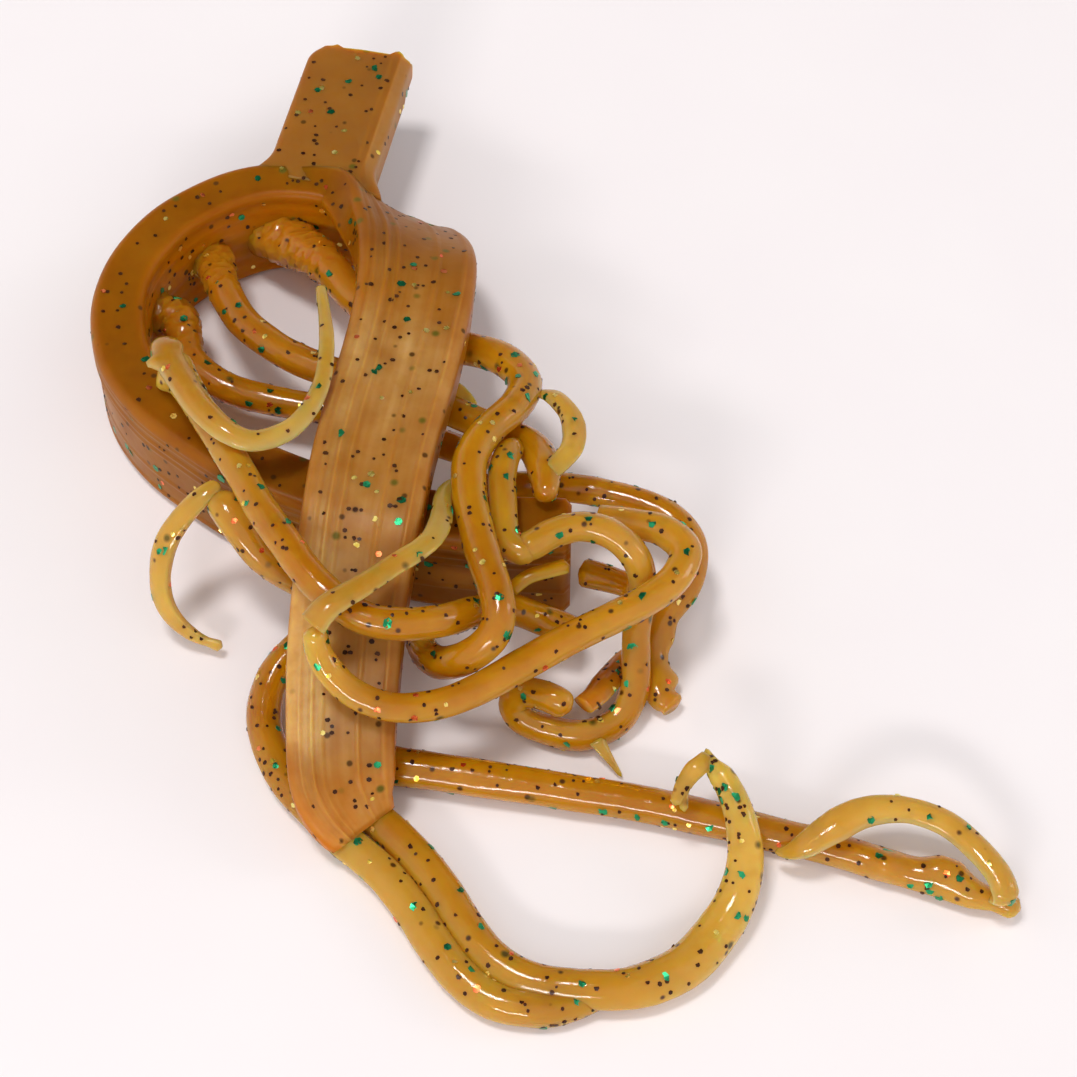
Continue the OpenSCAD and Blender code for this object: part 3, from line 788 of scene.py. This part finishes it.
tail(
    "hoop_tail_fork",
    [(11.3, -26.3, 6.1), (10.9, -27.3, 5.6), (11, -28.6, 5)],
    [], ((0, 0.5), (1, 0.22)), motion="hoop_tip", glitter=0, seed=29,
)
tail(
    "long_tail",
    [(34.6, -34.4, 2.4), (34.8, -34.9, 3.5), (34.2, -33.2, 4), (32.6, -31, 4.2),
     (30.4, -29.2, 4.6), (27.5, -28.3, 4.8), (24.5, -28.6, 4.8), (22, -29.8, 4.5),
     (20.3, -30.7, 3.9), (19, -31, 3.1), (17.9, -30.6, 2.3)],
    ["long_tail"], ((0, 0.95), (0.5, 0.95), (0.75, 1.25), (0.9, 0.85), (1, 0.2)),
    motion="long_tip", flat=0.6, seed=28,
)
tail(
    "flash_spike",
    [(4.6, -20.4, 1.6), (5.6, -21.8, 1), (6.5, -23, 0.4)],
    [], ((0, 0.7), (0.4, 0.4), (1, 0.15)), glitter=0, seed=30,
)
tail(
    "flash_film",
    [(-8.3, 9.5, 7.8), (-7.2, 9.2, 8.3), (-5.9, 8.4, 8.2), (-5.2, 7.6, 8)],
    [], ((0, 0.3), (0.4, 0.8), (1, 0.3)), flat=0.35, glitter=0, seed=31,
)


# ------------------------------------------------------------------------- glitter


FLAKE_PROUD = 0.02  # mm
FLAKE_DEEP = 0.12  # mm
FLAKE_TILT = 0.07
CORNER_TURN = 0.97  # cosine: where a surface turns more than this, no flake is laid


def flake(here, out, along, size, curve):
    """(points, faces) of a six-sided flake, size mm in radius, facing out.

    curve: how fast the surface falls away across the direction along, for a round limb.
    """
    face = out + np.array([dice.gauss(0, FLAKE_TILT) for _ in range(3)])
    face /= np.linalg.norm(face)
    side = np.cross(face, along / np.linalg.norm(along))
    side /= np.linalg.norm(side)
    ahead = np.cross(face, side)
    spin, stretch = dice.random() * math.pi, dice.uniform(0.75, 1.0)
    points = []
    for lift in (FLAKE_PROUD, FLAKE_PROUD - FLAKE_DEEP):
        points.append(here + out * lift)
        for corner in range(6):
            a = spin + corner * math.pi / 3
            x, y = size * math.cos(a), size * stretch * math.sin(a)
            points.append(here + out * (lift - curve * x**2) + x * side + y * ahead)
    faces = []
    for c in range(6):
        d = (c + 1) % 6
        faces += [(0, 1 + c, 1 + d), (7, 8 + d, 8 + c), (1 + c, 8 + c, 8 + d, 1 + d)]
    return points, faces


def flake_spot(rings, i, j, share):
    """(place, way out, direction along, curve) share of the way back round ring i from
    its point j, or None where the surface has a corner."""
    k = rings.shape[1]
    middle = rings[i].mean(axis=0)
    here = rings[i, j - 1] * share + rings[i, j] * (1 - share)
    along = rings[i + 1, j] - rings[i - 1, j]
    out = np.cross(rings[i, (j + 1) % k] - rings[i, j - 1], along)
    if np.linalg.norm(out) < 1e-9:
        return None
    out = out / np.linalg.norm(out)
    if out.dot(here - middle) < 0:
        out = -out
    if k == LIMB_SIDES:
        return here, out, along, 0.5 / np.linalg.norm(here - middle)
    before, after = here - rings[i, j - 3], rings[i, (j + 2) % k] - here
    if before.dot(after) < CORNER_TURN * np.linalg.norm(before) * np.linalg.norm(after):
        return None
    return here, out, along, 0


def lay_flakes():
    """Flakes set into every surface, one piece per colour and motion."""
    heaps = {}
    for motion, rings, amount in flake_beds:
        n, k = rings.shape[:2]
        step_along = np.linalg.norm(rings[1:, 0] - rings[:-1, 0], axis=1).mean()
        around = np.linalg.norm(rings[n // 2] - np.roll(rings[n // 2], 1, axis=0), axis=1)
        area = step_along * (n - 1) * around.sum()
        for colour, (density, small, large) in GLITTER.items():
            for _ in range(int(round(area * density * amount))):
                i, j = dice.randrange(3, n - 3), dice.choices(range(k), around)[0]
                spot = flake_spot(rings, i, j, dice.random())
                if spot is None:
                    continue
                here, out, along, curve = spot
                points, sides = flake(here, out, along, dice.uniform(small, large) / 2, curve)
                verts, faces = heaps.setdefault((colour, motion), ([], []))
                faces += [tuple(len(verts) + c for c in corners) for corners in sides]
                verts += points
    for (colour, motion), (verts, faces) in heaps.items():
        label = motion if isinstance(motion, str) else motion[1] + "_bend"
        slot = f"{colour}_glitter"
        piece = mesh_piece(f"{slot}_{label}", place(verts), faces, FOIL[colour])
        piece.data.polygons.foreach_set("use_smooth", [False] * len(piece.data.polygons))
        if motion == "bait":
            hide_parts(f"{colour}_flakes")
        move(piece, motion)


lay_flakes()


# ------------------------------------------------------------------ floor and light

FLOOR_REACH = 3.0  # metres from the middle to each edge
PAPER = [(0.3, (0.90, 0.85, 0.86)), (0.7, (0.91, 0.865, 0.87))]


def build_stage():
    """A wide pale tabletop, its mesh closing up toward the middle."""
    marks = [-FLOOR_REACH, -0.6, -0.2, 0.0, 0.2, 0.6, FLOOR_REACH]
    n = len(marks)
    verts = [(x, y, FLOOR_Z) for x in marks for y in marks]
    faces = [
        (i * n + j, (i + 1) * n + j, (i + 1) * n + j + 1, i * n + j + 1)
        for i in range(n - 1) for j in range(n - 1)
    ]
    mesh = bpy.data.meshes.new("floor")
    mesh.from_pydata(verts, [], faces)
    floor = bpy.data.objects.new("floor", mesh)
    bpy.context.scene.collection.objects.link(floor)
    material, nodes, links, shader = node_material("paper")
    grain = nodes.new("ShaderNodeTexNoise")
    grain.inputs["Scale"].default_value = 60
    links.new(nodes.new("ShaderNodeTexCoord").outputs["Object"], grain.inputs["Vector"])
    links.new(ramp(nodes, links, grain.outputs["Fac"], PAPER), shader.inputs["Base Color"])
    shader.inputs["Roughness"].default_value = 0.7
    shader.inputs["Specular IOR Level"].default_value = 0.2
    mesh.materials.append(material)


def area_light(name, where, size, power, tint):
    """A soft rectangle of light aimed at the middle, in metres and watts."""
    data = bpy.data.lights.new(name, "AREA")
    data.shape, data.size, data.size_y = "RECTANGLE", size[0], size[1]
    data.energy, data.color = power, tint
    light = bpy.data.objects.new(name, data)
    light.location = where
    light.rotation_euler = (-Vector(where)).to_track_quat("-Z", "Y").to_euler()
    bpy.context.scene.collection.objects.link(light)


DARK_CARD = (0.0, 0.57, 0.82)  # toward a dark patch of sky that keeps haze off flat tops


def build_sky(strength, dark):
    """An even white sky with one dark patch, high on the +Y side."""
    world = bpy.data.worlds.new("studio")
    world.use_nodes = True
    nodes, links = world.node_tree.nodes, world.node_tree.links
    toward = nodes.new("ShaderNodeVectorMath")
    toward.operation = "DOT_PRODUCT"
    toward.inputs[1].default_value = DARK_CARD
    links.new(nodes.new("ShaderNodeTexCoord").outputs["Generated"], toward.inputs[0])
    glow = ramp(
        nodes, links, toward.outputs["Value"],
        [(0.6, (strength, strength * 0.985, strength * 0.99)), (0.93, (dark, dark, dark))],
    )
    links.new(glow, nodes["Background"].inputs["Color"])
    bpy.context.scene.world = world


def build_light():
    area_light("top", (-0.16, 0.0, 0.8), (0.16, 0.16), 2.6, (1, 0.985, 0.975))
    area_light("front", (-0.25, -0.78, 0.42), (0.34, 0.08), 2.4, (1, 0.98, 0.97))
    area_light("right", (0.8, 0.1, 0.45), (0.2, 0.3), 0.7, (0.98, 0.985, 1))
    build_sky(0.78, 0.1)
    bpy.context.scene.view_settings.view_transform = "Standard"


VIEW_RISE = math.radians(55)
VIEW_DISTANCE = 0.212  # metres


def build_camera():
    data = bpy.data.cameras.new("camera")
    data.lens, data.sensor_width = 85, 36
    camera = bpy.data.objects.new("camera", data)
    aim = Vector(place((0, 0, 0)))
    back = Vector((0, -math.cos(VIEW_RISE), math.sin(VIEW_RISE)))
    camera.location = aim + back * VIEW_DISTANCE
    camera.rotation_euler = (-back).to_track_quat("-Z", "Y").to_euler()
    data.clip_start, data.clip_end = 0.01, 10
    bpy.context.scene.collection.objects.link(camera)
    bpy.context.scene.camera = camera


build_stage()
build_light()
build_camera()
